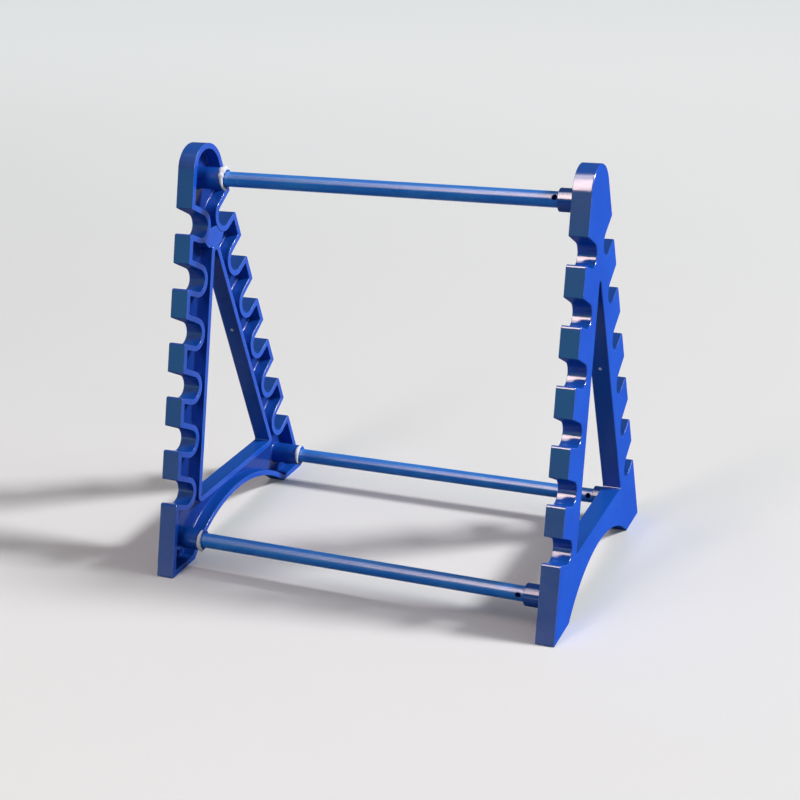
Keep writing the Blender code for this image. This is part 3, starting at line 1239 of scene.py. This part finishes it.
@dataclass
class GlueBead:
    """The uneven crescent of set glue that hooks round a left boss's mouth.

    It runs from start to end round the tube and is heaped most at peak. At fill 1 the heap
    is full.
    """

    tube: ConnectingTube
    start: float
    end: float
    peak: float
    fill: float
    mouth: float = -BOSS_MOUTH
    boss_radius: float = BOSS_RADIUS
    boss_wall: float = 1.55 * MM
    gap: float = 0.3 * MM
    skin: float = 0.35 * MM
    lump: float = 0.85 * MM
    wrap: float = 1.7 * MM
    lump_spread: float = math.radians(48)
    end_share: float = 0.15
    unevenness: float = 0.28
    lump_rate: float = 3.2
    lump_offset: float = 7.0
    steps: int = 90
    smoothing: int = 2

    def section(self, heaped: float, share: float) -> list[tuple[float, float]]:
        """Draw the glue's section at one place.

        Args:
            heaped: How much is heaped there, from 0 to 1.
            share: How much of the full section is left there.

        Returns:
            Pairs of a radius and a distance in front of the boss's mouth.
        """
        corner = self.boss_radius + self.gap
        heap = share * (self.skin + self.lump * heaped)
        cover = share * self.boss_wall
        wrap = share * (self.skin + self.wrap * heaped)
        edge = self.boss_radius - cover
        # The shares were drawn: over the boss's mouth, round its corner, down its side.
        return [
            (edge, self.gap),
            (edge + 0.15 * cover, self.gap + 0.7 * heap),
            (edge + 0.55 * cover, self.gap + heap),
            (corner + 0.25 * heap, self.gap + 0.9 * heap),
            (corner + 0.8 * heap, self.gap + 0.35 * heap),
            (corner + heap, -0.4 * wrap),
            (corner + 0.7 * heap, -0.85 * wrap),
            (corner, -wrap),
            (corner, self.gap),
        ]

    def build(self) -> bpy.types.Object:
        """Sweep the changing section round the mouth.

        Returns:
            The bead.
        """
        item = Workpiece(self.tube.place.value + "_set_glue")
        middle, half = (self.start + self.end) / 2, (self.end - self.start) / 2
        rings = []
        for i in range(self.steps + 1):
            turn = self.start + 2 * half * i / self.steps
            heaped = self.fill * math.exp(-((turn - self.peak) / self.lump_spread) ** 2)
            taper = math.sqrt(1.0 - min(1.0, abs(turn - middle) / half) ** 2)
            sample = Vector((self.lump_rate * turn, self.lump_offset * self.fill, 0.0))
            rough = 1.0 + self.unevenness * noise.noise(sample)
            section = self.section(heaped * rough, max(self.end_share, taper) * rough)
            rings.append(item.ring(
                (self.mouth + forward, self.tube.y + radius * math.cos(turn),
                 self.tube.z + radius * math.sin(turn))
                for radius, forward in section))
        item.prism(rings)
        piece = item.done()
        smooth = piece.modifiers.new("smooth", "SUBSURF")
        smooth.levels = smooth.render_levels = self.smoothing
        piece.data.shade_smooth()
        return piece


@dataclass(frozen=True)
class Lamp:
    """What every lamp has, and how it is hung."""

    name: str
    place: Spot
    power: float
    colour: Colour

    def hang(self, light: bpy.types.Light, aim: Spot) -> None:
        """Hang a light so that it points at a place.

        Args:
            light: The light, which gets the lamp's power and colour.
            aim: The place.
        """
        light.energy = self.power
        light.color = self.colour
        lamp = bpy.data.objects.new(self.name, light)
        lamp.location = self.place
        lamp.rotation_euler = (Vector(aim) - Vector(self.place)).to_track_quat("-Z", "Y").to_euler()
        bpy.context.scene.collection.objects.link(lamp)


@dataclass(frozen=True)
class SoftLamp(Lamp):
    """A rectangular lamp, with its power in watts."""

    size: tuple[float, float]

    def shine(self, aim: Spot) -> None:
        """Light the scene from the lamp's place towards another.

        Args:
            aim: The other place.
        """
        light = bpy.data.lights.new(self.name, "AREA")
        light.shape = "RECTANGLE"
        light.size, light.size_y = self.size
        self.hang(light, aim)


@dataclass(frozen=True)
class Sun(Lamp):
    """A far lamp. Its place is a direction and its power is in watts per square metre."""

    angle: float

    def shine(self) -> None:
        """Light the scene evenly from the sun's direction."""
        light = bpy.data.lights.new(self.name, "SUN")
        light.angle = self.angle
        self.hang(light, (0.0, 0.0, 0.0))


@dataclass
class Studio:
    """The pale floor, the soft lamps and the camera at the photograph's viewing angle."""

    floor_size: float = 24.0
    backdrop: float = 0.36
    camera_place: Spot = (0.31092, -0.68051, 0.39023)
    camera_turn: Spot = (67.852, 2.636, 23.330)
    lens: float = 68.05
    sensor: float = 36.0
    aim: Spot = (0.0, 0.0, 0.10)
    world_colour: Colour = (0.60, 0.92, 1.00)
    world_level: float = 0.09
    sun: Sun = Sun("key_sun", (0.76, 0.25, 0.60), 2.9, (1.0, 0.99, 0.97), math.radians(10))
    lamps: tuple[SoftLamp, ...] = (
        SoftLamp("side_lamp", (0.95, 0.15, 0.75), 2.5, (1.0, 0.99, 0.97), (0.45, 0.45)),
        SoftLamp("front_lamp", (-0.31, -0.93, 1.24), 6.0, (1.0, 0.78, 0.74), (0.32, 1.12)),
        SoftLamp("roof_lamp", (-0.36, -0.28, 1.70), 2.4, (1.0, 0.88, 0.88), (0.36, 0.85)),
        SoftLamp("edge_lamp", (1.13, -0.60, 0.40), 0.9, (0.90, 0.96, 1.0), (0.18, 0.50)),
        SoftLamp("fill_lamp", (-1.15, -3.20, 0.80), 0.8, (0.05, 1.0, 0.85), (2.20, 0.70)),
    )

    def lay_floor(self) -> None:
        item = Workpiece("studio_floor")
        half = self.floor_size / 2
        square = [(-half, -half), (half, -half), (half, half), (-half, half)]
        low, high = (item.ring([(*corner, height) for corner in square])
                     for height in (0.0, self.backdrop))
        item.work.faces.new(low)
        item.bridge([low, high])
        floor = item.done()
        if floor.data.polygons[0].normal.z < 0:
            floor.data.flip_normals()
        floor.data.materials.append(PaleFloor().material())

    def light_world(self) -> None:
        """Give the world its even, slightly cool light."""
        world = bpy.data.worlds.new("studio_world")
        bpy.context.scene.world = world
        world.use_nodes = True
        background = world.node_tree.nodes["Background"]
        background.inputs["Color"].default_value = (*self.world_colour, 1.0)
        background.inputs["Strength"].default_value = self.world_level

    def place_camera(self) -> None:
        """Place the camera where the photograph was taken from."""
        lens = bpy.data.cameras.new("camera")
        lens.lens = self.lens
        lens.sensor_width = self.sensor
        lens.sensor_fit = "HORIZONTAL"
        camera = bpy.data.objects.new("camera", lens)
        camera.location = self.camera_place
        camera.rotation_euler = Euler([math.radians(turn) for turn in self.camera_turn], "XYZ")
        bpy.context.scene.collection.objects.link(camera)
        bpy.context.scene.camera = camera

    def build(self) -> None:
        """Set up the whole studio."""
        bpy.context.scene.view_settings.view_transform = "Standard"
        self.lay_floor()
        self.light_world()
        self.sun.shine()
        for lamp in self.lamps:
            lamp.shine(self.aim)
        self.place_camera()


def main() -> None:
    """Build the tubes, the frames, the glue and the studio, and report each piece."""
    logging.basicConfig(level=logging.INFO, format="%(name)s: %(message)s")
    tubes = [
        ConnectingTube(Place.TOP, hole_setback=1.9 * MM, hole_turn=math.radians(31)),
        ConnectingTube(Place.FRONT, hole_setback=3.3 * MM, hole_turn=math.radians(15)),
        ConnectingTube(Place.REAR, hole_setback=2.6 * MM, hole_turn=math.radians(22)),
    ]
    for tube in tubes:
        name = tube.place.value + "_tube_coating"
        coating = TubeCoating().material(name, tube.hole(), tube.hole_radius)
        dress(tube.build(), coating, tube.place.tube_node)
    for side in Side:
        end = EndFrame(side)
        piece = end.build([(tube.y, tube.z) for tube in tubes])
        plastic = MouldedPlastic().material(end.gate(), end.outer_face)
        dress(piece, plastic, side.node)
    top, front, rear = tubes
    beads = [
        GlueBead(top, start=math.radians(40), end=math.radians(262),
                 peak=math.radians(108), fill=1.0),
        GlueBead(front, start=math.radians(92), end=math.radians(250),
                 peak=math.radians(165), fill=0.3),
        GlueBead(rear, start=math.radians(75), end=math.radians(215),
                 peak=math.radians(125), fill=0.45),
    ]
    glue = SetGlue().material()
    for bead in beads:
        dress(bead.build(), glue, bead.tube.place.glue_node)
    Studio().build()


if __name__ == "__main__":
    main()
